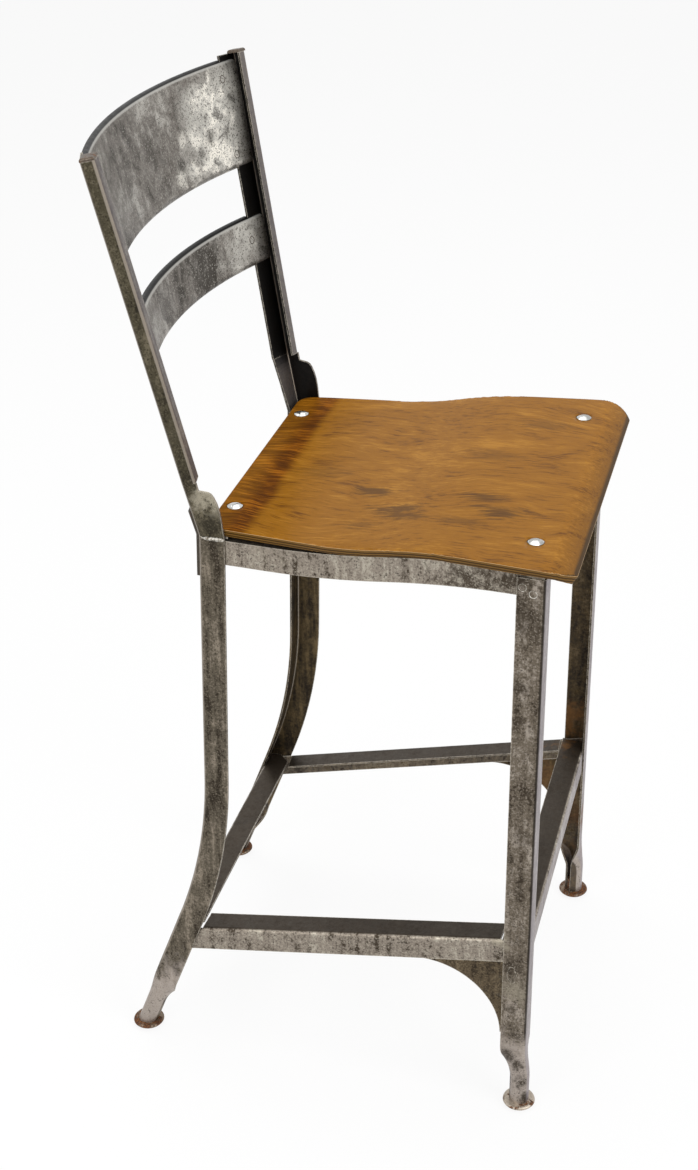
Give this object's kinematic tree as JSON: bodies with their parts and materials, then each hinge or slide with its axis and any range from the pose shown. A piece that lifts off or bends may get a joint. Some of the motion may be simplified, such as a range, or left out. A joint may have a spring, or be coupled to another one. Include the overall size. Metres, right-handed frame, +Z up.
{
  "type": "counter stool with backrest",
  "caption": "Tall steel stool with a moulded plywood seat, two curved back slats between raked posts, sloping side stretchers and splayed rear legs on domed glides.",
  "frame": {"origin": "on the floor, at the centre of the stool's overall box", "axes": "+Z up, -Y toward the front edge of the seat, +Y toward the backrest, -X the sitter's right; the stool is symmetric about the plane X = 0"},
  "size_m": [0.3858, 0.4495, 0.9441],
  "materials": {
    "frame_steel": "bare pressed steel, mottled brown-grey patina",
    "slat_steel": "bare sheet steel, cloudy grey",
    "cap_steel": "rusty",
    "strap_steel": "dark reddish patina",
    "weld_metal": "rough weld",
    "plywood": "clear gloss varnish",
    "screw_steel": "polished",
    "glide_steel": "worn plating with rust"
  },
  "bodies": {
    "root": {"front_right_leg": "frame_steel", "front_left_leg": "frame_steel", "rear_right_leg": "frame_steel", "rear_left_leg": "frame_steel", "right_back_post": "frame_steel", "left_back_post": "frame_steel", "right_side_rail": "frame_steel", "left_side_rail": "frame_steel", "front_rail": "frame_steel", "rear_rail": "frame_steel", "right_side_stretcher": "frame_steel", "left_side_stretcher": "frame_steel", "front_stretcher": "frame_steel", "rear_stretcher": "frame_steel", "right_gusset": "frame_steel", "left_gusset": "frame_steel", "right_post_cap": "cap_steel", "left_post_cap": "cap_steel", "upper_slat": "slat_steel", "lower_slat": "slat_steel", "right_splice_strap": "strap_steel", "left_splice_strap": "strap_steel", "right_weld_bead": "weld_metal", "left_weld_bead": "weld_metal", "seat_panel": "plywood", "seat_screws": "screw_steel", "seat_nuts": "screw_steel", "front_right_glide": "glide_steel", "front_left_glide": "glide_steel", "rear_right_glide": "glide_steel", "rear_left_glide": "glide_steel"}
  },
  "joints": []
}
